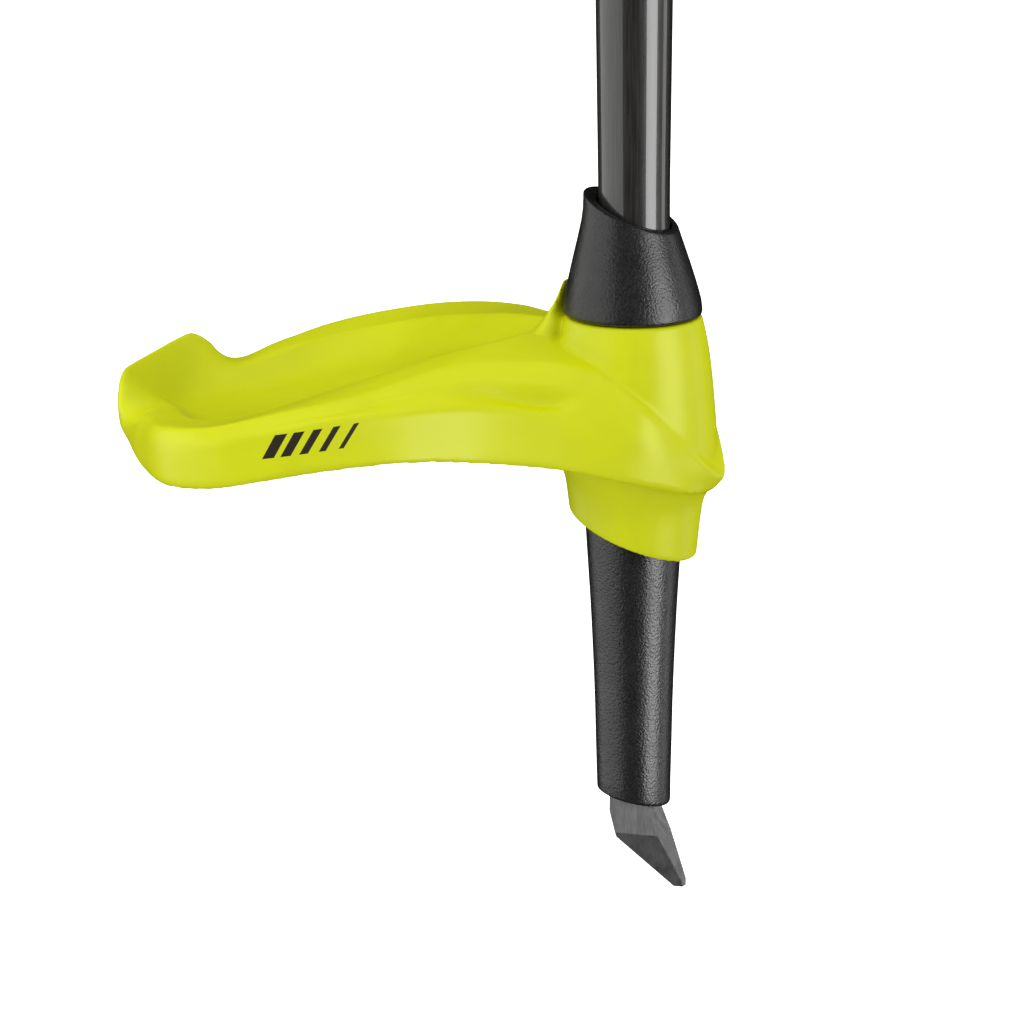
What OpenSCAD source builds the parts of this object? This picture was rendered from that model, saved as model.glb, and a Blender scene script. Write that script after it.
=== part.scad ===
// Lower end of a cross-country ski pole: shaft end, locking collar, basket and tip.
// Local frame of every part: z = 0 is the hub's top face, -X is the trailing side.
// The assembly is then lowered so that the origin is the shaft's upper end.

/* [Shaft] */
// Length of shaft above the hub's top face
stub_l = 60; // [56:1:80]
// Shaft diameter inside the collar
shaft_d = 9.6; // [9.4:0.1:9.8]
// Shaft diameter at its upper end
shaft_top_d = 10.4; // [9.9:0.1:11]
// Bore of the shaft tube at its upper end
shaft_bore_d = 8.8; // [8.6:0.1:9]
// Narrower bore that the adapter is bonded into
spigot_d = 8.1; // [7.8:0.1:8.3]

/* [Locking collar] */
// Play between the collar's lower face and the hub
collar_gap = 0.15; // [0.1:0.05:0.3]
// Quarter-turn travel of the basket and tip along the shaft
drop = 2.4; // [1.8:0.1:2.4]
// Running play of the bayonet lugs in their grooves
lug_play = 0.15; // [0.1:0.05:0.2]

/* [Basket] */
// Wall thickness of the basket's shell
wall = 1.8; // [1.4:0.1:2.2]
// Points between two control stations, along the rim
steps_along = 4; // [2:1:5]
// Points between two control rings, across the shell
steps_across = 3; // [2:1:3]

/* [Tip] */
// Largest diameter of the ferrule, inside the hub
ferrule_d = 13.2; // [13:0.1:13.4]
// Diameter of the spike's shank
shank_d = 5.1; // [4.6:0.1:5.6]

/* [Hidden] */
$fn = 96;
eps = 0.01;

carbon = [0.13, 0.13, 0.13];
black = [0.2, 0.2, 0.2];
neon = [0.83, 0.88, 0.1];
steel = [0.42, 0.42, 0.43];

shaft_r = shaft_d / 2;
shaft_top_r = shaft_top_d / 2;
shaft_bore_r = shaft_bore_d / 2;
shaft_end_z = 3.5;
taper_z0 = 17;
taper_z1 = 45;

spigot_r = spigot_d / 2;
spigot_top_z = 24;
bore_cone_z0 = spigot_top_z + 0.5;
bore_cone_z1 = 28;
flange_r = 6.4;
flange_z = 1.5;
post_r = 4.4;
post_end_z = -20;
key_w = 1.6;
key_r = 5.3;
fit = 0.15;

collar_bore_r = shaft_r + 0.25;
cavity_r = 6.6;
shoulder_z = 4.6;
collar_lean = 3;
rim_z = 14.1;
rim_slope = 0.4;
skirt_r = 7.9;
skirt_end_z = -9;
skirt_bore_r = 6.45;

neck_r = 6.3;
ferrule_r = ferrule_d / 2;
counterbore_r = skirt_r + 0.15;
counterbore_z = -9.5;
socket_z = -23;

lug_h = 1.6;
lug_z = -6.3;
lug_arc = 26;
groove_r = 7.0;
lug_tip_r = groove_r + fit;
turn = 90;

seal_r = 0.5;
post_seal_z = -12;
post_seal_r = post_r + 0.1 - seal_r;
collar_seal_z = 8.6;
collar_seal_play = 0.03;

hub_bottom_z = -29.2;
hub_slope = 0.33;
fin_x = -9.7;
ferrule_bottom_z = -65.6;
ferrule_slope = 0.25;
shank_top_z = -46;

module at_hub() {
    translate([0, 0, -stub_l]) children();
}

// Everything under the plane z = z0 - slope * x
module under_plane(z0, slope, reach = 80) {
    translate([0, 0, z0])
        rotate([0, atan(slope), 0])
            translate([-reach / 2, -reach / 2, -reach])
                cube([reach, reach, reach]);
}

// Block bent along a helix: radii r1 to r2, angles a1 down to a2, height h, foot z1 to z2
module helix_block(r1, r2, a1, a2, z1, z2, h, steps = 12) {
    slices = [for (i = [0:steps])
        let (a = a1 + (a2 - a1) * i / steps, z = z1 + (z2 - z1) * i / steps,
             c = cos(a), s = sin(a))
        [[r1 * c, r1 * s, z], [r2 * c, r2 * s, z],
         [r2 * c, r2 * s, z + h], [r1 * c, r1 * s, z + h]]];
    polyhedron(
        points = [for (slice = slices) each slice],
        faces = concat(
            [[0, 1, 2, 3], [for (k = [3:-1:0]) 4 * steps + k]],
            [for (i = [0:steps - 1], k = [0:3])
                [4 * i + k, 4 * i + 4 + k, 4 * i + 4 + (k + 1) % 4, 4 * i + (k + 1) % 4]]));
}

// ---------- shaft ----------

module shaft_tube() {
    color(carbon) at_hub() rotate_extrude() polygon([
        [spigot_r, shaft_end_z], [shaft_r, shaft_end_z], [shaft_r, taper_z0],
        [shaft_top_r, taper_z1], [shaft_top_r, stub_l], [shaft_bore_r, stub_l],
        [shaft_bore_r, bore_cone_z1], [spigot_r, bore_cone_z0]]);
}

// Bonded adapter: a spigot in the tube, a flange under it and a keyed post below
module shaft_core() {
    color(black) at_hub() difference() {
        union() {
            rotate_extrude() polygon([
                [0, post_end_z], [post_r - 0.6, post_end_z], [post_r, post_end_z + 0.6],
                [post_r, flange_z], [flange_r, flange_z], [flange_r, shaft_end_z],
                [spigot_r, shaft_end_z], [spigot_r, spigot_top_z - 1],
                [spigot_r - 1, spigot_top_z], [0, spigot_top_z]]);
            for (side = [0, 180])
                rotate([0, 0, 90 + side])
                    translate([post_r - 1, -key_w / 2, post_end_z + 3])
                        cube([key_r - post_r + 1, key_w, flange_z - post_end_z - 3 + eps]);
        }
        translate([0, 0, post_seal_z]) rotate_extrude()
            translate([post_seal_r - seal_r, -seal_r]) square([key_r, 2 * seal_r]);
    }
}

module thrust_washer() {
    color(steel) at_hub() rotate_extrude()
        translate([shaft_r + 0.2, shaft_end_z + 0.03])
            square([flange_r - shaft_r - 0.3, shoulder_z - shaft_end_z - 0.08]);
}

// Ring of round section
module o_ring(mid_r, z) {
    translate([0, 0, z]) rotate_extrude()
        translate([mid_r, 0]) circle(r = seal_r - 0.02, $fn = 32);
}

module post_seal() {
    color(black) at_hub() o_ring(post_seal_r, post_seal_z);
}

// ---------- locking collar ----------

module collar_outside() {
    intersection() {
        translate([-0.18, 0, 0]) rotate([0, -collar_lean, 0]) rotate_extrude() polygon([
            [0, -2], [9.35, -2], [9.35, 0.9], [9.2, 1.8], [8.87, 3.3], [8.2, 6.1],
            [7.4, 8.8], [6.75, 11.3], [6, 14.3], [5.75, 18], [0, 18]]);
        under_plane(rim_z, rim_slope);
        rotate_extrude() polygon([
            [0, collar_gap], [8.5, collar_gap], [9.3, collar_gap + 0.35],
            [9.6, collar_gap + 1], [12, 20], [0, 20]]);
    }
}

// Cone over the shaft's end, with a grooved skirt that screws into the hub
module locking_collar() {
    groove_a = lug_arc / 2 + 2;
    color(black) at_hub() difference() {
        union() {
            collar_outside();
            translate([0, 0, skirt_end_z])
                cylinder(h = collar_gap - skirt_end_z + eps, r = skirt_r);
        }
        translate([0, 0, skirt_end_z - eps])
            cylinder(h = flange_z - skirt_end_z - 0.05 + eps, r = skirt_bore_r);
        translate([0, 0, flange_z - 0.1])
            cylinder(h = shoulder_z - flange_z + 0.1, r = cavity_r);
        translate([0, 0, shoulder_z - eps]) cylinder(h = 20, r = collar_bore_r);
        translate([0, 0, collar_seal_z]) rotate_extrude()
            translate([shaft_r + collar_seal_play, -seal_r]) square([2 * seal_r, 2 * seal_r]);
        for (side = [0, 180]) rotate([0, 0, side]) {
            pitch = drop / turn;
            helix_block(groove_r, skirt_r + 1, groove_a, -turn - groove_a,
                        lug_z - lug_play + pitch * groove_a,
                        lug_z - lug_play - pitch * (turn + groove_a),
                        lug_h + 2 * lug_play, 24);
            helix_block(groove_r, skirt_r + 1, -turn + groove_a, -turn - groove_a,
                        skirt_end_z - 1, skirt_end_z - 1, lug_z - drop - skirt_end_z + 1.6, 6);
        }
    }
}

module collar_seal() {
    color(black) at_hub() o_ring(shaft_r + seal_r + collar_seal_play, collar_seal_z);
}

// ---------- basket ----------

// Control rings of the basket's right half, as [x, half-width, z] at each station.
// Stations run from the prow, round the hub, along the wing and to the tail's middle.
crown = [[9, 0, -18], [6, 0, -15], [3, 0, -11], [-4, 0, -7], [-11, 0, -3.6],
         [-18, 0, -6.2], [-26, 0, -9.6], [-36, 0, -13], [-44.5, 0, -15.6],
         [-51, 0, -16.7], [-56, 0, -17], [-59.5, 0, -17], [-62.3, 0, -16.8],
         [-63.5, 0, -16.6]];
floor_edge = [[10.5, 0, -19], [7, 3.5, -15], [3.5, 5, -10.4], [-3.5, 5, -6], [-11.6, 2, -3],
              [-17, 4.6, -5], [-25, 10, -8.3], [-35.5, 18.5, -11.8], [-44, 23, -14.6],
              [-51.5, 19, -15.9], [-56.5, 13.5, -16.4], [-60, 8.5, -16.5],
              [-62.3, 4.5, -16.5], [-63.3, 0, -16.4]];
ridge = [[12.8, 0, -20.2], [8.7, 7, -14.4], [4.8, 10.3, -9.7], [-2, 10.3, -5],
         [-12.2, 4, -2.2], [-16, 8, -3.2], [-23.3, 15.3, -5.2], [-34.6, 27.1, -8.7],
         [-44, 33.5, -11.4], [-52.5, 29, -13], [-58, 19.5, -13.5], [-61.5, 12.5, -14.4],
         [-63.8, 7, -15.2], [-64.6, 0, -15.5]];
crest = [[13, 0, -20.7], [9, 7.2, -15.6], [5, 11.2, -10.8], [-3, 12, -5.4], [-12, 13.8, -4.5],
         [-19.6, 19, -4.8], [-28, 31, -7], [-36.5, 37.5, -8.5], [-45, 41.5, -10.3],
         [-54, 36.5, -11.6], [-60, 25.5, -12.9], [-63.6, 16.5, -14.2], [-67.6, 13.2, -10.7],
         [-68.4, 0, -10.4]];
panel_top = [[12.5, 0, -21.4], [9.4, 7.2, -17.8], [5.2, 12.4, -14.6], [-4, 16, -10.8],
             [-13, 22, -9.2], [-21.5, 31, -8.6], [-30, 37.5, -9], [-37.5, 41.3, -10.6],
             [-45.5, 42.8, -12.5], [-53.5, 38, -13.8], [-60.3, 28.5, -14.8],
             [-65, 20.5, -15.3], [-67.8, 13.4, -13.4], [-69, 0, -13]];
skirt = [[12.1, 0, -22.3], [10.2, 6.8, -21.9], [4.5, 13, -20.2], [-3.8, 18, -17.8],
         [-13, 24.5, -16.2], [-21, 33, -15], [-30, 39, -15.6], [-37.3, 42, -16.8],
         [-44.8, 42.5, -18.3], [-52.7, 38, -19.3], [-59.3, 29, -19.3], [-64.2, 21, -18.2],
         [-67.8, 13.4, -16.9], [-69, 0, -16.4]];
// How far each station is hollow underneath: 0 is solid, 1 is a shell
hollow = [0, 0, 0.2, 0.7, 1, 1, 1, 1, 1, 1, 1, 1, 1, 1];
// Underside of each ring: shift towards the middle and downwards, in wall thicknesses,
// and its place between the skirt's edge and the middle where the part is solid
under_in = [1, 1, 0.9, 0.2, 0, 0];
under_down = [0, -0.1, 0.8, 1, 1, 1];
under_place = [0.15, 0.3, 0.45, 0.6, 0.8, 1];

last = len(crown) - 1;
upper = [crown, floor_edge, ridge, crest, panel_top, skirt];

function mix(a, b, f) = a + (b - a) * f;
function unit_xy(v) = let (l = norm([v.x, v.y])) l > 0 ? [v.x / l, v.y / l, 0] : [0, 0, 0];

function under(r, k) =
    let (p = upper[5 - r][k], mid = crown[k],
         inward = unit_xy(mid - p),
         shell = p + wall * (under_in[r] * inward - [0, 0, under_down[r]]),
         full = mix(skirt[k], [mid.x, 0, skirt[k].z + 0.4], under_place[r]))
    mix(full, shell, hollow[k]);

rings = concat(upper, [for (r = [0:5]) [for (k = [0:last]) under(r, k)]]);

// Catmull-Rom curve through p1 and p2
function spline(p0, p1, p2, p3, f) =
    0.5 * (2 * p1 + (p2 - p0) * f + (2 * p0 - 5 * p1 + 4 * p2 - p3) * f * f
           + (3 * p1 - p0 - 3 * p2 + p3) * f * f * f);

// Station k of a ring, mirrored past the prow and past the tail's middle
function station(ring, k) =
    let (m = k < 0 ? -k : k > last ? 2 * last - k : k, p = ring[m])
    m == k ? p : [p.x, -p.y, p.z];

// Point of a ring at place u, counted in stations
function along(ring, u) =
    let (k = min(floor(u), last - 1), f = u - k)
    f == 0 ? ring[k]
           : spline(station(ring, k - 1), ring[k], ring[k + 1], station(ring, k + 2), f);

// Columns of points down the shell, for the right half from prow to tail
n_half = last * steps_along;
n_rows = (len(rings) - 1) * steps_across + 1;
columns = [for (i = [0:n_half])
    let (column = [for (ring = rings) along(ring, i / steps_along)], top = len(rings) - 1)
    [for (j = [0:n_rows - 1])
        let (v = j / steps_across, k = min(floor(v), top - 1), f = v - k)
        spline(column[max(k - 1, 0)], column[k], column[k + 1], column[min(k + 2, top)], f)]];

function on_middle(i, j) =
    i == 0 || i == n_half || j == 0 || j == n_rows - 1;
function point_at(i, j) =
    let (p = i <= n_half ? columns[i][j] : columns[2 * n_half - i][j])
    [p.x, (i <= n_half ? -1 : 1) * (on_middle(i, j) ? 0 : p.y), p.z];
// The first and last rows lie on the middle plane, so both halves share their points
function index_of(i, j) =
    let (c = i % (2 * n_half), m = (j == 0 || j == n_rows - 1) && c > n_half ? 2 * n_half - c : c)
    m * n_rows + j;

module shell() {
    polyhedron(
        points = [for (i = [0:2 * n_half - 1], j = [0:n_rows - 1]) point_at(i, j)],
        faces = [for (i = [0:2 * n_half - 1], j = [0:n_rows - 2])
            let (a = index_of(i, j), b = index_of(i, j + 1),
                 c = index_of(i + 1, j + 1), d = index_of(i + 1, j))
            each concat(a == d ? [] : [[a, b, d]], b == c ? [] : [[b, c, d]])]);
}

// Round hub with a sleeve below it, cut on a slant
module hub_solid() {
    difference() {
        rotate_extrude() polygon([
            [0, 0], [8.9, 0], [9.15, -0.3], [9.85, -3.5], [10.3, -6.5], [10.65, -10],
            [11, -14], [11.3, -17.5], [11.2, -19.5], [10.2, -21.5], [9.4, -23], [9, -25],
            [8.75, -27], [8.3, -31], [7.8, -34], [0, -34]]);
        under_plane(hub_bottom_z, hub_slope);
    }
}

// Slice of the fin: half-width w, from the collar's side back to x, at height z
module fin_slice(w, x, z) {
    translate([x, -w, z - 0.2]) cube([fin_x - x, 2 * w, 0.2]);
}

// Upright tab close to the collar's trailing side, thin at its top
module fin() {
    slices = [[4.2, -15, -3], [3.2, -12.4, 0.2], [2.3, -11, 1.7], [1.5, -10.3, 3.2],
              [0.8, fin_x - 0.25, 5]];
    for (i = [0:len(slices) - 2]) hull() {
        fin_slice(slices[i][0], slices[i][1], slices[i].z);
        fin_slice(slices[i + 1][0], slices[i + 1][1], slices[i + 1].z);
    }
}

module basket() {
    color(neon) at_hub() {
        difference() {
            union() {
                hub_solid();
                shell();
                fin();
            }
            translate([0, 0, -50]) cylinder(h = 70, r = ferrule_r);
            translate([0, 0, counterbore_z]) cylinder(h = 30, r = counterbore_r);
        }
        for (side = [0, 180])
            rotate([0, 0, side])
                helix_block(lug_tip_r, counterbore_r + 0.3, lug_arc / 2, -lug_arc / 2,
                            lug_z + drop / turn * lug_arc / 2,
                            lug_z - drop / turn * lug_arc / 2, lug_h, 4);
    }
}

// ---------- tip ----------

// Tapered tube with a keyed socket at its top and the spike's seat in its foot
module tip_ferrule() {
    color(black) at_hub() difference() {
        rotate_extrude() polygon([
            [0, -69], [4.85, -69], [4.93, -63.6], [5.07, -58.1], [5.2, -52.7], [5.4, -47.2],
            [5.8, -39], [6.1, -34.5], [6.45, -29], [ferrule_r, -26], [ferrule_r, counterbore_z],
            [neck_r, counterbore_z], [neck_r, flange_z - 0.05], [0, flange_z - 0.05]]);
        under_plane(ferrule_bottom_z, ferrule_slope);
        translate([0, 0, socket_z]) cylinder(h = 40, r = post_r + fit);
        for (side = [0, 180])
            rotate([0, 0, 90 + side])
                translate([0, -key_w / 2 - fit, socket_z])
                    cube([key_r + fit, key_w + 2 * fit, 40]);
        translate([0, 0, shank_top_z - 40]) cylinder(h = 40, r = shank_d / 2);
    }
}

// Hardened spike, bent forward to a point
module spike() {
    color(steel) at_hub() {
        translate([0, 0, shank_top_z - 19]) cylinder(h = 19, r = shank_d / 2);
        intersection() {
            rotate([90, 0, 0]) translate([0, 0, -4]) linear_extrude(8) polygon([
                [-2.5, -64], [-2.55, -67.5], [-1.6, -71.1], [6.3, -77.9], [6.9, -78.1],
                [7.2, -77.6], [7.1, -76.7], [4.4, -70.6], [3.1, -67.5], [2.5, -64]]);
            rotate([90, 0, 90]) translate([0, 0, -10]) linear_extrude(30) polygon([
                [-2.5, -64], [-2.5, -70.5], [-0.7, -77.6], [0.7, -77.6], [2.5, -70.5],
                [2.5, -64]]);
        }
    }
}

shaft_tube();
shaft_core();
thrust_washer();
post_seal();
locking_collar();
collar_seal();
basket();
tip_ferrule();
spike();
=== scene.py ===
"""Looks of the lower end of a cross-country ski pole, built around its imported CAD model."""
import math

import bmesh
import bpy
import numpy as np
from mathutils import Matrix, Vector


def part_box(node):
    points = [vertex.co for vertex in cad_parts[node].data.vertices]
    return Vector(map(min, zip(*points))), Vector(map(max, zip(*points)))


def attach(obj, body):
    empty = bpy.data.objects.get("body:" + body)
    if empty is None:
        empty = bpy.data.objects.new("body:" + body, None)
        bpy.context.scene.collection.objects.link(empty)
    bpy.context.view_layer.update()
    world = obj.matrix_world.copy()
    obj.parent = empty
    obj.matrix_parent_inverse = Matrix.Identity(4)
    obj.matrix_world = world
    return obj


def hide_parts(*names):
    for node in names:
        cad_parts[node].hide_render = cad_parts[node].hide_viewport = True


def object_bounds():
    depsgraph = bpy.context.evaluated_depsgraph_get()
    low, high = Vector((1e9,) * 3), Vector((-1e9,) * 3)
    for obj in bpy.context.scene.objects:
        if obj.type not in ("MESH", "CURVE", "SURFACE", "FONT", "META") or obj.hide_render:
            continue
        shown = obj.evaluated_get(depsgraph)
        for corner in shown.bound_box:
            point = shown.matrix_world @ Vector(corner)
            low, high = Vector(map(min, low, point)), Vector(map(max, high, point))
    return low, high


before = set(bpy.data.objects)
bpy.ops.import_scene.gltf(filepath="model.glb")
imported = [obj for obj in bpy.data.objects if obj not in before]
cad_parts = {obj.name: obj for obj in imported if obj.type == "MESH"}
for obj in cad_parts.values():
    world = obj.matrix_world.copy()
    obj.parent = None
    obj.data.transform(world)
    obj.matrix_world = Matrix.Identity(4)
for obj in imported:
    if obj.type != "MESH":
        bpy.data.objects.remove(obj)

MM = 0.001
CAD_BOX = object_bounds()
# Shapes are written in millimetres, with z = 0 on the hub's top face
SHAFT_END_Z = 3.5
HUB_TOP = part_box("shaft_tube")[0].z - SHAFT_END_Z * MM


# ---------- camera, light and floor ----------

AZIMUTH, ELEVATION = math.radians(20.5), math.radians(12.6)
CAMERA_RIGHT = Vector((math.cos(AZIMUTH), math.sin(AZIMUTH), 0))
CAMERA_BACK = Vector((math.sin(AZIMUTH) * math.cos(ELEVATION),
                      -math.cos(AZIMUTH) * math.cos(ELEVATION),
                      math.sin(ELEVATION)))
CAMERA_UP = CAMERA_BACK.cross(CAMERA_RIGHT)


def link(data, name):
    """A new object that holds data, in the scene."""
    made = bpy.data.objects.new(name, data)
    bpy.context.scene.collection.objects.link(made)
    return made


def make_camera(frame_width=136.53, left=16.27, down=26.33):
    """A long lens, aimed left of and below the middle of the hub's top face."""
    data = bpy.data.cameras.new("camera")
    data.lens = 1500
    data.sensor_width = 36
    data.clip_end = 100
    camera = link(data, "camera")
    distance = frame_width * MM * data.lens / data.sensor_width
    aim = Vector((0, 0, HUB_TOP)) - left * MM * CAMERA_RIGHT - down * MM * CAMERA_UP
    camera.location = aim + CAMERA_BACK * distance
    camera.rotation_euler = CAMERA_BACK.to_track_quat("Z", "Y").to_euler()
    bpy.context.scene.camera = camera


def make_softbox(name, azimuth, elevation, size, distance, radiance):
    """Area light that faces the collar, at an azimuth counted from the camera's own."""
    data = bpy.data.lights.new(name, "AREA")
    width, height = size
    data.shape = "RECTANGLE"
    data.size = width
    data.size_y = height
    data.energy = radiance * math.pi * width * height
    softbox = link(data, name)
    turn, rise = math.radians(azimuth), math.radians(elevation)
    level_back = Vector((math.sin(AZIMUTH), -math.cos(AZIMUTH), 0))
    out = math.cos(rise) * (math.cos(turn) * level_back + math.sin(turn) * CAMERA_RIGHT)
    out.z = math.sin(rise)
    softbox.location = out * distance + Vector((0, 0, HUB_TOP))
    softbox.rotation_euler = out.to_track_quat("Z", "Y").to_euler()
    softbox.visible_camera = False
    return softbox


def make_lights():
    """Softboxes, some of which show only in the gloss or only in the matt shading."""
    # Azimuth and elevation in degrees, size and distance in metres, radiance, where it shows
    for *setup, shows in [
            ("key_right", 56, -1, (0.36, 0.52), 0.55, 6.0, "gloss"),
            ("soft_right", 56, -1, (0.36, 0.52), 0.55, 3.5, "matt"),
            ("edge_right", 107, -4, (0.16, 0.6), 0.55, 1.5, "both"),
            ("fill_left", -80, 2, (1.1, 0.6), 0.55, 1.3, "both"),
            ("front", -15, 42, (1.2, 0.5), 0.8, 0.4, "matt"),
            ("overhead", 0, 88, (1.4, 1.4), 0.75, 0.9, "matt")]:
        softbox = make_softbox(*setup)
        softbox.visible_diffuse = shows != "gloss"
        softbox.visible_glossy = shows != "matt"


def make_world():
    """White all round, as the photo's background is, but not seen in the part's gloss."""
    world = bpy.data.worlds.new("studio")
    world.use_nodes = True
    background = world.node_tree.nodes["Background"]
    background.inputs["Color"].default_value = (1, 1, 1, 1)
    background.inputs["Strength"].default_value = 1.0
    bpy.context.scene.world = world
    world.cycles_visibility.glossy = False
    bpy.context.scene.view_settings.view_transform = "Standard"


def make_floor(clearance=0.12, half=30.0, glow=0.75):
    """Plain white floor below the tip, left out of the part's gloss and matt shading."""
    data = bpy.data.meshes.new("floor")
    z = CAD_BOX[0].z - clearance
    data.from_pydata([(-half, -half, z), (half, -half, z), (half, half, z), (-half, half, z)],
                     [], [(0, 1, 2, 3)])
    floor = link(data, "floor")
    floor.visible_glossy = floor.visible_diffuse = False
    paint, _, shader, _ = new_material("floor_white", (0.9, 0.9, 0.9), 0.9)
    shader.inputs["Emission Color"].default_value = (1, 1, 1, 1)
    shader.inputs["Emission Strength"].default_value = glow
    floor.data.materials.append(paint)


# ---------- materials ----------

def add(tree, kind, inputs=None, **settings):
    """A new node, with its inputs set to values or linked to sockets."""
    made = tree.nodes.new(kind)
    for key, value in settings.items():
        setattr(made, key, value)
    for key, value in (inputs or {}).items():
        if isinstance(value, bpy.types.NodeSocket):
            tree.links.new(value, made.inputs[key])
        else:
            made.inputs[key].default_value = value
    return made


def new_material(name, color, roughness, sockets=None):
    """Principled material, with its node tree, its shader and the object's own coordinates."""
    made = bpy.data.materials.new(name)
    made.use_nodes = True
    tree = made.node_tree
    shader = tree.nodes["Principled BSDF"]
    shader.inputs["Base Color"].default_value = (*color, 1)
    shader.inputs["Roughness"].default_value = roughness
    for key, value in (sockets or {}).items():
        shader.inputs[key].default_value = value
    place = add(tree, "ShaderNodeTexCoord").outputs["Object"]
    return made, tree, shader, place


def stretched(tree, place, scale):
    """Coordinates scaled along each axis; a scale under 1 draws a pattern out."""
    return add(tree, "ShaderNodeMapping", {"Vector": place, "Scale": scale}).outputs["Vector"]


def noise(tree, place, scale, detail=2.0):
    """Value of a noise texture, about 0.5 on average."""
    return add(tree, "ShaderNodeTexNoise",
               {"Vector": place, "Scale": scale, "Detail": detail}).outputs["Fac"]


def ramp(tree, value, low, high, low_out, high_out):
    """Maps a value between low and high to a colour or number between the two outputs."""
    if isinstance(low_out, tuple):
        share = add(tree, "ShaderNodeMapRange",
                    {"Value": value, "From Min": low, "From Max": high}).outputs["Result"]
        return add(tree, "ShaderNodeMix", {0: share, 6: (*low_out, 1), 7: (*high_out, 1)},
                   data_type="RGBA").outputs[2]
    return add(tree, "ShaderNodeMapRange",
               {"Value": value, "From Min": low, "From Max": high,
                "To Min": low_out, "To Max": high_out}).outputs["Result"]


def bump(tree, height, distance, normal=None):
    """Normal of a surface raised by height times distance, over another normal if given."""
    inputs = {"Height": height, "Distance": distance, "Strength": 1.0}
    if normal:
        inputs["Normal"] = normal
    return add(tree, "ShaderNodeBump", inputs).outputs["Normal"]


def calculate(tree, operation, *values):
    """Output of a Math node."""
    return add(tree, "ShaderNodeMath", dict(enumerate(values)), operation=operation).outputs[0]


def slanted_bars(tree, place, first=-36.5, pitch=2.3, count=5, middle=-12.4, rise=0.13,
                 half=1.5, slant=-0.5, width=0.66, narrowing=-0.1, side_y=-30):
    """1 inside a row of slanted bars, each narrower than the last, on the -Y side's outer face.
    Lengths are in mm; width and narrowing are shares of the pitch."""
    parts = add(tree, "ShaderNodeSeparateXYZ", {"Vector": place})
    normal = add(tree, "ShaderNodeTexCoord").outputs["Normal"]
    facing = add(tree, "ShaderNodeSeparateXYZ", {"Vector": normal})
    x = calculate(tree, "MULTIPLY", parts.outputs["X"], 1 / MM)
    above_hub = calculate(tree, "SUBTRACT", parts.outputs["Z"], HUB_TOP)
    z = calculate(tree, "MULTIPLY", above_hub, 1 / MM)
    along = calculate(tree, "SUBTRACT", x, first)
    line = calculate(tree, "MULTIPLY_ADD", along, rise, middle)
    off = calculate(tree, "SUBTRACT", z, line)
    slanted = calculate(tree, "MULTIPLY_ADD", off, slant, along)
    number = calculate(tree, "DIVIDE", slanted, pitch)
    end = calculate(tree, "MULTIPLY_ADD", calculate(tree, "FLOOR", number), narrowing, width)
    tests = [calculate(tree, "LESS_THAN", calculate(tree, "ABSOLUTE", off), half),
             calculate(tree, "LESS_THAN", calculate(tree, "FRACT", number), end),
             calculate(tree, "GREATER_THAN", number, 0),
             calculate(tree, "LESS_THAN", number, count),
             calculate(tree, "LESS_THAN", parts.outputs["Y"], side_y * MM),
             calculate(tree, "LESS_THAN", facing.outputs["Y"], 0)]
    inside = tests[0]
    for test in tests[1:]:
        inside = calculate(tree, "MULTIPLY", inside, test)
    return inside


def neon_plastic():
    """Satin neon yellow moulding with a plain printed row of bars on one side."""
    made, tree, shader, place = new_material("neon_plastic", (0.45, 0.495, 0.0), 0.42,
                                             {"Specular IOR Level": 0.22})
    flow = noise(tree, stretched(tree, place, (1, 1, 2)), 90, 3)
    yellow = ramp(tree, flow, 0.3, 0.7, (0.43, 0.467, 0.0), (0.455, 0.492, 0.0))
    ink = {0: slanted_bars(tree, place), 6: yellow, 7: (0.022, 0.018, 0.01, 1)}
    tree.links.new(add(tree, "ShaderNodeMix", ink, data_type="RGBA").outputs[2],
                   shader.inputs["Base Color"])
    tree.links.new(ramp(tree, noise(tree, place, 260, 2), 0.3, 0.7, 0.31, 0.37),
                   shader.inputs["Roughness"])
    skin = bump(tree, noise(tree, place, 5200, 2), 0.005 * MM)
    tree.links.new(bump(tree, noise(tree, place, 300, 2), 0.02 * MM, skin),
                   shader.inputs["Normal"])
    return made


def grained_plastic(name, color, grain=0.055, shine=0.5):
    """Black plastic with a spark-eroded grain, rubbed a little smoother in patches."""
    made, tree, shader, place = new_material(name, color, 0.5, {"Specular IOR Level": shine})
    light = tuple(2.6 * c for c in color)
    speckle = noise(tree, place, 3600, 2)
    tree.links.new(ramp(tree, speckle, 0.35, 0.7, color, light), shader.inputs["Base Color"])
    tree.links.new(ramp(tree, noise(tree, place, 320, 3), 0.3, 0.7, 0.29, 0.38),
                   shader.inputs["Roughness"])
    coarse = bump(tree, noise(tree, place, 3400, 1), grain * MM)
    tree.links.new(bump(tree, speckle, 0.4 * grain * MM, coarse), shader.inputs["Normal"])
    return made


def carbon():
    """Wrapped carbon fibre under a clear gloss coat."""
    made, tree, shader, place = new_material(
        "carbon", (0.012, 0.011, 0.01), 0.38,
        {"Coat Weight": 1.0, "Coat Roughness": 0.035})
    fibre = noise(tree, stretched(tree, place, (1, 1, 0.02)), 5200, 3)
    tree.links.new(ramp(tree, fibre, 0.35, 0.7, (0.008, 0.0075, 0.007), (0.024, 0.022, 0.02)),
                   shader.inputs["Base Color"])
    tree.links.new(bump(tree, fibre, 0.004 * MM), shader.inputs["Normal"])
    ripple = noise(tree, stretched(tree, place, (1, 1, 0.25)), 160, 1)
    tree.links.new(bump(tree, ripple, 0.012 * MM), shader.inputs["Coat Normal"])
    return made


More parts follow.
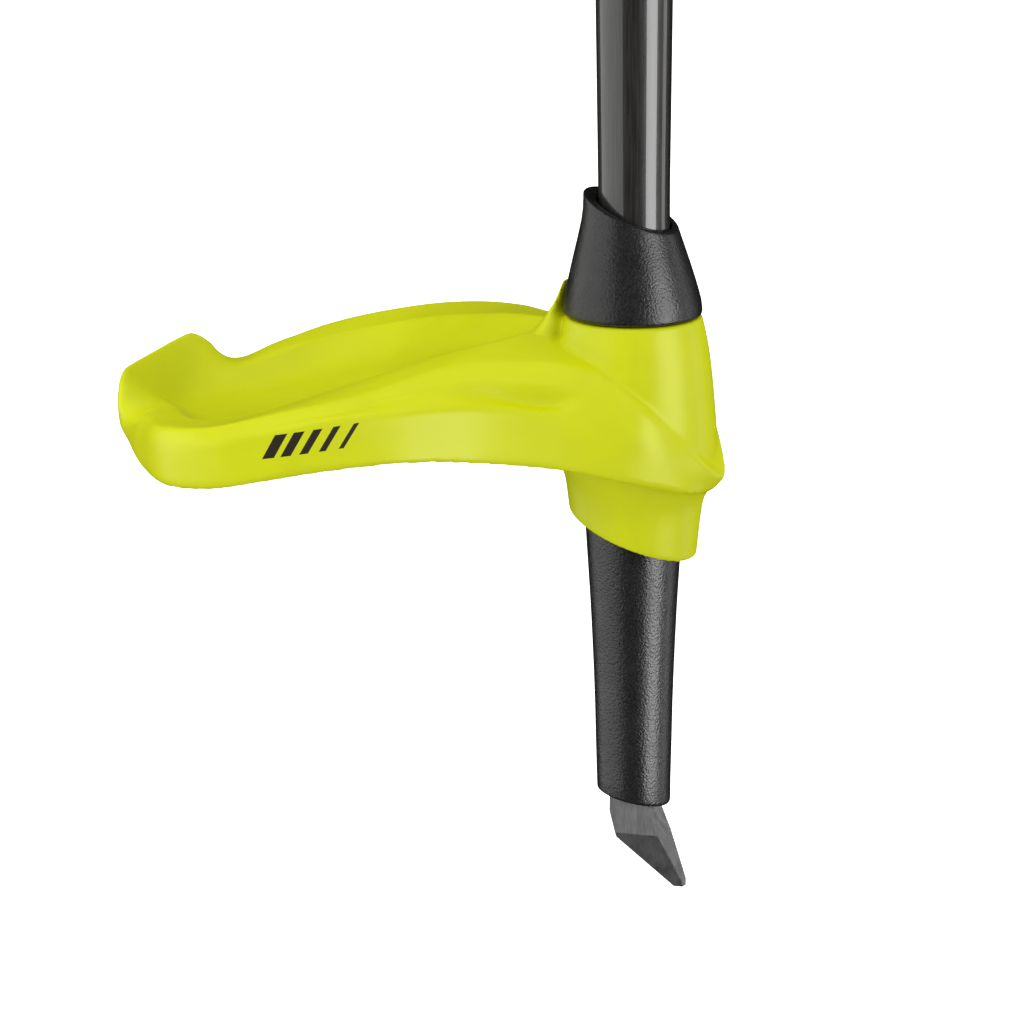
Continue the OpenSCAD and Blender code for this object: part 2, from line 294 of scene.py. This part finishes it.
def ground_metal(name, color, roughness, lines=(1, 1, 1), depth=0.004):
    """Metal with fine grinding lines and slightly uneven polish."""
    made, tree, shader, place = new_material(name, color, roughness, {"Metallic": 1.0})
    scratch = noise(tree, stretched(tree, place, lines), 4200, 3)
    darker = tuple(0.75 * c for c in color)
    tree.links.new(ramp(tree, scratch, 0.3, 0.7, darker, color), shader.inputs["Base Color"])
    tree.links.new(ramp(tree, noise(tree, place, 700, 3), 0.3, 0.7,
                        0.85 * roughness, 1.2 * roughness), shader.inputs["Roughness"])
    tree.links.new(bump(tree, scratch, depth * MM), shader.inputs["Normal"])
    return made


def rubber():
    """Matt black seal rubber with a faint bloom."""
    made, tree, shader, place = new_material("rubber", (0.012, 0.012, 0.012), 0.7)
    tree.links.new(ramp(tree, noise(tree, place, 900, 3), 0.3, 0.7,
                        (0.01, 0.01, 0.01), (0.022, 0.022, 0.022)),
                   shader.inputs["Base Color"])
    tree.links.new(bump(tree, noise(tree, place, 4000, 2), 0.006 * MM),
                   shader.inputs["Normal"])
    return made


# ---------- mesh tools ----------

def smoothstep(low, high, value):
    """0 at low, 1 at high and smooth between them; high may be under low."""
    share = np.clip((value - low) / (high - low), 0, 1)
    return share * share * (3 - 2 * share)


def spline(p0, p1, p2, p3, f):
    """Catmull-Rom curve from p1 to p2."""
    return 0.5 * (2 * p1 + (p2 - p0) * f + (2 * p0 - 5 * p1 + 4 * p2 - p3) * f * f
                  + (3 * p1 - p0 - 3 * p2 + p3) * f * f * f)


def smooth_path(points, steps):
    """Points of a smooth curve through the given points."""
    p = np.asarray(points, float)
    last = len(p) - 1
    path = [spline(p[max(k - 1, 0)], p[k], p[k + 1], p[min(k + 2, last)], f)
            for k in range(last) for f in np.arange(steps) / steps]
    return np.array([*path, p[last]])


def rounded(corners, closed=True, steps=6):
    """An outline through [point, radius] corners, with the corners that have a radius rounded."""
    outline, count = [], len(corners)
    for i, (corner, radius) in enumerate(corners):
        corner = np.asarray(corner, float)
        if not radius or (not closed and i in (0, count - 1)):
            outline.append(corner)
            continue
        ends = []
        for other in (corners[i - 1][0], corners[(i + 1) % count][0]):
            away = np.asarray(other, float) - corner
            ends.append(corner + away * min(radius / max(np.linalg.norm(away), 1e-6), 0.5))
        for t in np.linspace(0, 1, steps):
            outline.append((1 - t) ** 2 * ends[0] + 2 * t * (1 - t) * corner + t * t * ends[1])
    return outline


def on_angle(angle, profile):
    """Profile corners [r, z, radius] turned to an angle, as [point, radius]."""
    c, s = math.cos(angle), math.sin(angle)
    return [((r * c, r * s, z), radius) for r, z, radius in profile]


def creased_path(corners, steps=6, fill=5):
    """An open line through [point, radius] corners, rounded at each one and finely divided."""
    outline = rounded(corners, closed=False, steps=steps)
    path = [outline[0]]
    for k in range(len(corners) - 1):
        start, end = outline[k * steps], outline[k * steps + 1]
        path += [start + (end - start) * f for f in np.arange(1, fill) / fill]
        path += outline[k * steps + 1:(k + 1) * steps + 1]
    return np.array(path)


def grid_faces(columns, rows, rows_closed):
    """Faces of a grid whose columns close round."""
    faces = []
    for i in range(columns):
        for j in range(rows if rows_closed else rows - 1):
            k, m = (i + 1) % columns, (j + 1) % rows
            faces.append((i * rows + j, k * rows + j, k * rows + m, i * rows + m))
    return faces


def grid_mesh(columns, rows_closed=False):
    """A bmesh from columns of points in mm that go round, with double points merged."""
    columns = np.asarray(columns, float)
    made = bmesh.new()
    points = columns.reshape(-1, 3) * MM + (0, 0, HUB_TOP)
    verts = [made.verts.new(p) for p in points]
    for face in grid_faces(len(columns), columns.shape[1], rows_closed):
        made.faces.new([verts[k] for k in face])
    bmesh.ops.remove_doubles(made, verts=made.verts, dist=1e-3 * MM)
    bmesh.ops.recalc_face_normals(made, faces=made.faces)
    return made


def turned(column, segments=192, rows_closed=True, steps=6):
    """A turned solid. column(angle) gives the [point, radius] corners at an angle."""
    angles = np.arange(segments) * 2 * math.pi / segments
    return grid_mesh([rounded(column(a), rows_closed, steps) for a in angles], rows_closed)


def helix_block(r1, r2, a1, a2, z1, z2, height, steps=24):
    """Block bent along a helix: radii r1 to r2, angles a1 to a2, its foot from z1 to z2."""
    made = bmesh.new()
    slices = []
    for f in np.linspace(0, 1, steps + 1):
        a, z = math.radians(a1 + (a2 - a1) * f), z1 + (z2 - z1) * f
        ring = [(r1, z), (r2, z), (r2, z + height), (r1, z + height)]
        slices.append([made.verts.new((r * math.cos(a) * MM, r * math.sin(a) * MM,
                                       h * MM + HUB_TOP)) for r, h in ring])
    for one, two in zip(slices, slices[1:]):
        for k in range(4):
            made.faces.new((one[k], two[k], two[(k + 1) % 4], one[(k + 1) % 4]))
    made.faces.new(slices[0][::-1])
    made.faces.new(slices[-1])
    bmesh.ops.recalc_face_normals(made, faces=made.faces)
    return made


def block(low, high):
    """A box between two corners in mm, for cutting."""
    made = bmesh.new()
    bmesh.ops.create_cube(made, size=1)
    low, high = np.array(low, float), np.array(high, float)
    for v in made.verts:
        v.co = Vector(((low + high) / 2 + np.array(v.co) * (high - low)) * MM)
        v.co.z += HUB_TOP
    return made


def to_object(name, *parts):
    """One object from one or more bmeshes."""
    data = bpy.data.meshes.new(name)
    whole = bmesh.new()
    for part in parts:
        part.to_mesh(data)
        part.free()
        whole.from_mesh(data)
    whole.to_mesh(data)
    whole.free()
    return link(data, name)


def apply_modifiers(piece):
    """Replaces the piece's mesh with the one that its modifiers make."""
    evaluated = piece.evaluated_get(bpy.context.evaluated_depsgraph_get())
    data = bpy.data.meshes.new_from_object(evaluated)
    piece.modifiers.clear()
    piece.data = data


def cut(piece, *tools, operation="DIFFERENCE"):
    """Boolean of the piece with each tool, which is then removed."""
    for tool in tools:
        other = to_object("tool", tool)
        boolean = piece.modifiers.new("cut", "BOOLEAN")
        boolean.object, boolean.operation, boolean.solver = other, operation, "EXACT"
        bpy.context.view_layer.update()
        apply_modifiers(piece)
        bpy.data.objects.remove(other)


def finish_piece(piece, body, material, node, sharp=32):
    """Shading, material and body of the piece, and the CAD node that it stands for hidden."""
    piece.data.shade_smooth()
    piece.data.set_sharp_from_angle(angle=math.radians(sharp))
    piece.data.materials.clear()
    piece.data.materials.append(material)
    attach(piece, body)
    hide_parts(node)


# ---------- shaft ----------

def make_shaft(material):
    """Slightly tapered tube with a wider bore in its upper end."""
    def column(angle):
        return on_angle(angle, [
            (4.05, 3.5, 0.1), (4.8, 3.5, 0.15), (4.8, 17, 4), (5.2, 45, 4), (5.2, 60, 0.2),
            (4.4, 60, 0.12), (4.4, 28, 0), (4.05, 24.5, 0)])
    finish_piece(to_object("shaft", turned(column, 256)), "pole", material,
                 "shaft_tube")


# ---------- quarter-turn lock ----------

# A quarter turn of the collar lowers the tip module by DROP
DROP, QUARTER = 2.4, 90
SLOT_PITCH = DROP / QUARTER
LUG_Z, LUG_HEIGHT, LUG_HALF_ANGLE = -6.3, 1.6, 13
SLOT_INSIDE, SLOT_OUTSIDE, LUG_INSIDE = 7.0, 8.9, 7.15


# ---------- locking collar ----------

LEAN = math.radians(3)
CONE_SHIFT = 0.18
# Height along the leaning axis and radius
CONE = smooth_path([[-2, 9.35], [0.9, 9.35], [3.3, 8.9], [6.1, 8.2], [8.8, 7.45], [11.3, 6.75],
                    [14.3, 6.02], [18, 5.75]], 6)


def on_cone(angle, s):
    """Point of the collar's leaning cone, s along its axis."""
    r = np.interp(s, CONE[:, 0], CONE[:, 1])
    x, y = r * math.cos(angle), r * math.sin(angle)
    return np.array([x * math.cos(LEAN) - s * math.sin(LEAN) - CONE_SHIFT, y,
                     x * math.sin(LEAN) + s * math.cos(LEAN)])


def solve(below, low, high):
    """The value between low and high up to which below(value) is true."""
    for _ in range(40):
        middle = (low + high) / 2
        low, high = (middle, high) if below(middle) else (low, middle)
    return low


def collar_column(angle, gap=0.15, rim_z=14.1, slope=0.4, bore=5.05):
    """Leaning cone with a slanted rim, bore with the seal's groove, counterbore and skirt."""
    foot = solve(lambda s: on_cone(angle, s)[2] < gap, -2, 4)
    top = solve(lambda s: on_cone(angle, s)[2] < rim_z - slope * on_cone(angle, s)[0], 4, 18)
    wall = [[on_cone(angle, foot), 0.75]]
    for share in (0.16, 0.28, 0.4, 0.52, 0.64, 0.76, 0.86, 0.95):
        wall.append([on_cone(angle, foot + share * (top - foot)), 0])
    wall.append([on_cone(angle, top), 0.3])
    inside = [(bore, rim_z - slope * bore * math.cos(angle), 0.22), (bore, 9.1, 0),
              (5.83, 9.1, 0), (5.83, 8.1, 0), (bore, 8.1, 0), (bore, 4.6, 0.1),
              (6.6, 4.6, 0), (6.6, 1.4, 0), (6.45, 1.4, 0), (6.45, -9, 0.2)]
    skirt = [(7.9, -9, 0.3), (7.9, gap, 0)]
    return wall + on_angle(angle, inside) + on_angle(angle, skirt)


def make_collar(material, play=0.15, reach=15, mouth_z=-10, mouth_height=1.9):
    """Collar with two helical slots in its skirt, each open below at its far end."""
    piece = to_object("collar", turned(collar_column))
    for side in (0, 180):
        far = side - QUARTER
        slot = helix_block(SLOT_INSIDE, SLOT_OUTSIDE, side + reach, far - reach,
                           LUG_Z - play + SLOT_PITCH * reach,
                           LUG_Z - play - SLOT_PITCH * (QUARTER + reach),
                           LUG_HEIGHT + 2 * play)
        mouth = helix_block(SLOT_INSIDE, SLOT_OUTSIDE, far + reach, far - reach,
                            mouth_z, mouth_z, mouth_height, 6)
        cut(piece, slot, mouth)
    finish_piece(piece, "collar", material, "locking_collar")


# ---------- basket ----------

# Control rings of the +Y half, as x, y and z at each station. Stations run from the prow,
# round the hub, along the wing and to the tail's middle.
CROWN = [[9.5, 0, -18.2], [6, 0, -15], [3, 0, -11], [-4, 0, -7], [-11, 0, -3.6], [-18, 0, -6.2],
         [-26, 0, -9.6], [-36, 0, -13], [-44.5, 0, -15.6], [-51, 0, -16.7], [-56, 0, -17],
         [-59.5, 0, -17], [-62.3, 0, -16.8], [-63.5, 0, -16.6]]
FLOOR_EDGE = [[11, 0, -19.3], [7, 3.5, -15], [3.5, 5, -10.4], [-3.5, 5, -6], [-11.6, 2, -3],
              [-17, 4.6, -5], [-25, 10, -8.3], [-35.5, 18.5, -11.8], [-44, 23, -14.6],
              [-51.5, 19, -15.9], [-56.5, 13.5, -16.4], [-60, 8.5, -16.5],
              [-62.3, 4.5, -16.5], [-63.3, 0, -16.4]]
RIDGE = [[12.6, 0, -20.6], [8.7, 7, -14.4], [4.8, 10.3, -9.7], [-2, 10.3, -5],
         [-12.2, 4, -2.6], [-16, 7.6, -3], [-23.3, 14.6, -4.6], [-34.6, 26.2, -8],
         [-44, 32.7, -10.7], [-52.5, 28.2, -12.4], [-58, 19, -13.2], [-61.5, 12.2, -14.2],
         [-63.8, 7, -15.2], [-64.6, 0, -15.5]]
CREST = [[13, 0, -21.1], [9, 7.2, -15.6], [5, 11.2, -10.8], [-3, 12, -5.4], [-12, 13.8, -4.5],
         [-19.6, 19, -4.8], [-28, 31, -7], [-36.5, 37.5, -8.5], [-45, 41.5, -10.3],
         [-54, 36.5, -11.6], [-60, 25.5, -12.9], [-63.8, 17, -14.3], [-68, 14.3, -9.9],
         [-68.7, 0, -9.5]]
PANEL_TOP = [[12.4, 0, -21.9], [9.4, 7.2, -17.8], [5.2, 12.4, -14.6], [-4, 16, -10.8],
             [-13, 22, -9.2], [-21.5, 31, -8.6], [-30, 37.5, -9], [-37.5, 41.3, -10.6],
             [-45.5, 42.8, -12.5], [-53.5, 38, -13.8], [-60.3, 28.5, -14.8],
             [-65, 20.5, -15.3], [-68.3, 14, -13.4], [-69, 0, -13]]
SKIRT = [[11, 0, -23.2], [9.8, 6.5, -22.5], [4.5, 13, -20.4], [-3.8, 18, -18.1],
         [-13, 24.5, -16.6], [-21, 33, -15.4], [-30, 39, -16], [-37.3, 42, -17.2],
         [-44.8, 42.5, -18.7], [-52.7, 38, -19.7], [-59.3, 29, -19.7], [-64.2, 21, -18.6],
         [-68.1, 13.8, -17.2], [-69.1, 0, -16.7]]
WALL = 1.8
# How far each station is hollow underneath, and each under-ring's shift in wall thicknesses
HOLLOW = [0, 0, 0.2, 0.7, 1, 1, 1, 1, 1, 1, 1, 1, 1, 1]
UNDER_IN = [1, 1, 0.9, 0.2, 0, 0]
UNDER_DOWN = [0, 0.5, 0.9, 1, 1, 1]
# The tail's lip is steep, so there the underside moves in less and down more
LIP = [0] * 10 + [0.5, 1, 1, 1]
LIP_IN = [0, -0.35, -0.5, 0, 0, 0]
LIP_DOWN = [0, 1, 0.5, 0.2, 0, 0]
# Where a station is solid, its under-rings lie between the skirt and the middle line
UNDER_PLACE = [0.15, 0.3, 0.45, 0.6, 0.8, 1]
UNDER_RISE = 0.4
# Rounding of the underside's lines, the one under the channel included
UNDER_RADII = [0.6, 1, 1, 2, 2, 4, 0]
# Shares of the nearer and the farther line in the two lines between crest and panel
NEARER, FARTHER = 0.54, 0.46
CHANNEL_DEPTH = 2.4
HUB_FOOT_Z, HUB_SLOPE = -29.6, 0.4
# Radius and z down the hub's wall
HUB = smooth_path([[8.9, 0.0], [9.15, -0.3], [9.85, -3.5], [10.3, -6.5], [10.65, -10],
                   [11, -14], [11.3, -17.5], [11.2, -19.5], [10.2, -21.5], [9.4, -23],
                   [9, -25], [8.75, -27], [8.3, -31], [7.8, -34]], 3)
FERRULE_R, COUNTERBORE_R, COUNTERBORE_Z = 6.6, 8.05, -9.5


def all_rings():
    """The upper rings, and the rings of the underside that follow from them."""
    upper = np.array([CROWN, FLOOR_EDGE, RIDGE, CREST, PANEL_TOP, SKIRT], float)
    crown, skirt = upper[0], upper[-1]
    hollow = np.array(HOLLOW)[:, None]
    lip = np.array(LIP)[:, None]
    middle = crown * (1, 0, 0) + skirt * (0, 0, 1) + (0, 0, UNDER_RISE)
    rings = list(upper)
    for k, ring in enumerate(upper[::-1]):
        inward = (crown - ring) * (1, 1, 0)
        length = np.linalg.norm(inward, axis=1, keepdims=True)
        inward = np.divide(inward, length, out=np.zeros_like(inward), where=length > 0)
        down = (UNDER_DOWN[k] + LIP_DOWN[k] * lip) * np.array([0, 0, 1])
        shell = ring + WALL * ((UNDER_IN[k] + LIP_IN[k] * lip) * inward - down)
        full = skirt + (middle - skirt) * UNDER_PLACE[k]
        rings.append(full + (shell - full) * hollow)
    return np.array(rings)


def channel_depth(u):
    """Depth of the flank's channel at station u: a leaf-shaped end that fades along the wing."""
    start = smoothstep(2.8, 3.3, u)
    leaf = 1 - 0.85 * smoothstep(3.5, 4.8, u)
    fade = 1 - smoothstep(5.5, 7.5, u)
    return CHANNEL_DEPTH * start * leaf * fade


def shell_column(rings, u):
    """Line down the shell from its crown to the underside, with its creases rounded."""
    crown, floor_edge, ridge, crest, panel_top, skirt, *under = rings
    inward = (crown - crest) * (1, 1, 0)
    inward /= max(np.linalg.norm(inward), 1e-6)
    sink = np.array([0, 0, channel_depth(u)])
    brow = NEARER * crest + FARTHER * panel_top
    channel = FARTHER * crest + NEARER * panel_top - sink
    # The underside dips with the channel, so that the wall keeps its thickness
    under.insert(2, 0.52 * under[1] + 0.48 * under[2] - sink - (0, 0, 0.5))
    bevel = smoothstep(2.5, 3.5, u)
    panel_edge = skirt + (0, 0, 0.5 * bevel)
    skirt = skirt + bevel * (0.5 * inward - (0, 0, 0.15))
    front = 1 - smoothstep(2, 3.2, u)
    tail = smoothstep(8, 9.5, u)
    lip = smoothstep(11.7, 12.2, u)
    return creased_path([
        (crown, 0), (floor_edge, 4), (ridge, 0.5 + 2 * lip),
        (crest, 0.8 + 5 * tail - 4.7 * lip), (brow, 0.5), (channel, 0.9),
        (panel_top, 0.8 + 3 * front + 5 * tail), (panel_edge, 0.3),
        (skirt, 0.8 + 0.6 * tail), *zip(under, UNDER_RADII)])


def make_shell(along=12):
    """The basket's shell as one closed, finely divided surface."""
    rings = all_rings()
    flip = np.array([1, -1, 1])
    padded = np.concatenate([rings[:, 1:2] * flip, rings, rings[:, -2:-1] * flip], axis=1)
    last = rings.shape[1] - 1
    half = []
    for k in range(last):
        for f in np.arange(along) / along:
            half.append(shell_column(spline(*[padded[:, k + m] for m in range(4)], f), k + f))
    half.append(shell_column(rings[:, last], last))
    for column in half:
        column[0, 1] = column[-1, 1] = 0
    for column in (half[0], half[-1]):
        column[:, 1] = 0
    near = [column * flip for column in half]
    return grid_mesh(near + half[-2:0:-1])


def hub_column(angle, step_tilt=1.9, steps=40, edge=0.4):
    """Round hub that narrows to a sleeve, lower down at its front, cut on a slant."""
    c = math.cos(angle)
    r, z = HUB.T
    z = z - step_tilt * c * smoothstep(-12, -18, z)
    gap = z - (HUB_FOOT_Z - HUB_SLOPE * r * c)
    end = np.interp(0, -gap, np.arange(len(gap)))
    at = np.linspace(0, end, steps)
    radii = np.interp(at, np.arange(len(r)), r)
    heights = np.interp(at, np.arange(len(z)), z)
    rounding = [edge, *[0] * (steps - 2), edge]
    return on_angle(angle, [(0, 0, 0), *zip(radii, heights, rounding), (0, HUB_FOOT_Z, 0)])


def make_fin(sides=24):
    """Upright tab close behind the collar, thin at its top and spreading towards the wing."""
    # Half-width, back, front and z of each slice
    slices = smooth_path([[6.4, -17, -8.3, -5.8], [4.8, -14, -8.5, -3], [3.9, -12.5, -8.7, -1.1],
                          [3.3, -11.6, -9.75, 0.1], [2.7, -10.9, -9.75, 1.2],
                          [2, -10.35, -9.62, 2.5], [1, -9.9, -9.4, 4.1]], 4)
    made = bmesh.new()
    turns = np.arange(sides) * 2 * math.pi / sides
    rings = []
    for w, back, front, z in slices:
        middle, half = (back + front) / 2, (front - back) / 2
        rings.append([made.verts.new(((middle + half * math.cos(a)) * MM, w * math.sin(a) * MM,
                                      z * MM + HUB_TOP)) for a in turns])
    for low, high in zip(rings, rings[1:]):
        for k in range(sides):
            made.faces.new((low[k - 1], low[k], high[k], high[k - 1]))
    made.faces.new(rings[0][::-1])
    made.faces.new(rings[-1])
    bmesh.ops.recalc_face_normals(made, faces=made.faces)
    return made


def relax(piece, steps, weight=None, keep_volume=False, pull_in=0.5, push_out=-0.53):
    """Moves each vertex towards the middle of its neighbours, steps times.
    With keep_volume every second step moves them back out, so only unevenness is lost."""
    mesh = piece.data
    count = len(mesh.vertices)
    co = np.zeros(count * 3)
    mesh.vertices.foreach_get("co", co)
    co = co.reshape(-1, 3)
    edges = np.zeros(len(mesh.edges) * 2, int)
    mesh.edges.foreach_get("vertices", edges)
    a, b = edges.reshape(-1, 2).T
    degree = np.bincount(a, minlength=count) + np.bincount(b, minlength=count)
    share = 1 if weight is None else weight(local_mm(co))[:, None]
    for step in range(steps):
        total = np.stack([np.bincount(a, co[b, k], count) + np.bincount(b, co[a, k], count)
                          for k in range(3)], axis=1)
        pull = push_out if keep_volume and step % 2 else pull_in
        co += share * pull * (total / degree[:, None] - co)
    mesh.vertices.foreach_set("co", co.ravel())
    mesh.update()


def local_mm(co):
    """Points of the frame in mm, with z = 0 on the hub's top face."""
    return (co - (0, 0, HUB_TOP)) / MM


def near_hub(p):
    """Weight of the fillet between the hub and the shell, at points in mm."""
    r = np.hypot(p[:, 0], p[:, 1])
    out = smoothstep(8, 10, r) * (1 - smoothstep(11.5, 13, r))
    return out * (1 - smoothstep(-3.5, -1.5, p[:, 2])) * smoothstep(-24.5, -22, p[:, 2])


def near_middle(p):
    """Weight of the wing's middle line, where both halves of its floor meet."""
    middle = 1 - smoothstep(2, 6, np.abs(p[:, 1]))
    behind_hub = 1 - smoothstep(-14.5, -12.5, p[:, 0])
    before_lip = smoothstep(-63, -60, p[:, 0])
    return middle * behind_hub * before_lip


def near_tail(p):
    """Weight of the corners inside the tail, where the wing's rim runs into the lip."""
    before_back = smoothstep(-67.5, -66, p[:, 0])
    behind_wing = 1 - smoothstep(-59, -56, p[:, 0])
    below_top = 1 - smoothstep(-13.2, -12.2, p[:, 2])
    above_foot = smoothstep(-17.3, -16.3, p[:, 2])
    return before_back * behind_wing * below_top * above_foot


def near_rim(p):
    """Weight of the shell's lower edge and of the top of the tail's lip."""
    r = np.hypot(p[:, 0], p[:, 1])
    low = smoothstep(11, 12.5, r) * (1 - smoothstep(-15.5, -14.5, p[:, 2]))
    lip = (1 - smoothstep(-66, -65, p[:, 0])) * smoothstep(-12.5, -11.5, p[:, 2])
    return np.maximum(low, lip)


def round_tool(radius, low, high):
    """Cylinder for cutting."""
    def column(angle):
        return on_angle(angle, [(0, low, 0), (radius, low, 0), (radius, high, 0), (0, high, 0)])
    return turned(column, rows_closed=False)


def make_basket(material, voxel=0.32):
    """Shell, hub and fin joined and smoothed into one moulding, then bored, with two lugs."""
    hub = turned(hub_column, 160, rows_closed=False)
    piece = to_object("basket_shell", make_shell(), hub, make_fin())
    remesh = piece.modifiers.new("remesh", "REMESH")
    remesh.mode = "VOXEL"
    remesh.voxel_size = voxel * MM
    apply_modifiers(piece)
    relax(piece, 2)
    relax(piece, 24, keep_volume=True)
    for weight, steps in ((near_hub, 5), (near_middle, 60), (near_tail, 40), (near_rim, 14)):
        relax(piece, steps, weight)
    cut(piece, round_tool(FERRULE_R, -50, 20), round_tool(COUNTERBORE_R, COUNTERBORE_Z, 20))
    rise = SLOT_PITCH * LUG_HALF_ANGLE
    for side in (0, 180):
        lug = helix_block(LUG_INSIDE, COUNTERBORE_R + 0.3, side + LUG_HALF_ANGLE,
                          side - LUG_HALF_ANGLE, LUG_Z + rise, LUG_Z - rise, LUG_HEIGHT, 8)
        cut(piece, lug, operation="UNION")
    finish_piece(piece, "tip_module", material, "basket", sharp=50)


# ---------- tip ----------

def ferrule_column(angle):
    """Solid ferrule with the spike's hole below and the post's socket above."""
    c = math.cos(angle)

    def foot(r):
        return -65.6 - 0.25 * r * c

    lower_edge = 0.18 + 0.55 * (1 + c) / 2
    profile = [(0, -46, 0), (2.55, -46, 0), (2.55, foot(2.55), 0.1), (4.88, foot(4.88), lower_edge),
               (4.93, -63.2, 0), (5.07, -58.1, 0), (5.2, -52.7, 0), (5.4, -47.2, 3),
               (5.8, -39, 3), (6.1, -34.5, 2), (6.45, -29, 2), (FERRULE_R, -26, 1),
               (FERRULE_R, COUNTERBORE_Z, 0.15), (6.3, COUNTERBORE_Z, 0), (6.3, 1.45, 0.2),
               (4.55, 1.45, 0.2), (4.55, -23, 0), (0, -23, 0)]
    return on_angle(angle, profile)


def make_ferrule(material):
    """Ferrule with a keyway across its socket."""
    piece = to_object("ferrule", turned(ferrule_column, 160, rows_closed=False, steps=5))
    cut(piece, block((-0.95, -5.45, -23), (0.95, 5.45, 5)))
    finish_piece(piece, "tip_module", material, "tip_ferrule")


# ---------- whole scene ----------

def paint_node(name, material):
    """Gives a CAD node its material."""
    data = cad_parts[name].data
    data.materials.clear()
    data.materials.append(material)


make_camera()
make_lights()
make_world()
make_floor()

make_shaft(carbon())
make_collar(grained_plastic("collar_black", (0.006, 0.006, 0.006), shine=0.56))
make_basket(neon_plastic())
make_ferrule(grained_plastic("ferrule_black", (0.006, 0.006, 0.0062), shine=0.8))
paint_node("shaft_core", grained_plastic("core_black", (0.04, 0.04, 0.04), 0.015))
paint_node("thrust_washer", ground_metal("washer_steel", (0.55, 0.55, 0.56), 0.3))
paint_node("spike", ground_metal("spike_steel", (0.44, 0.44, 0.445), 0.55, (1, 1, 0.1)))
seal = rubber()
paint_node("post_seal", seal)
paint_node("collar_seal", seal)
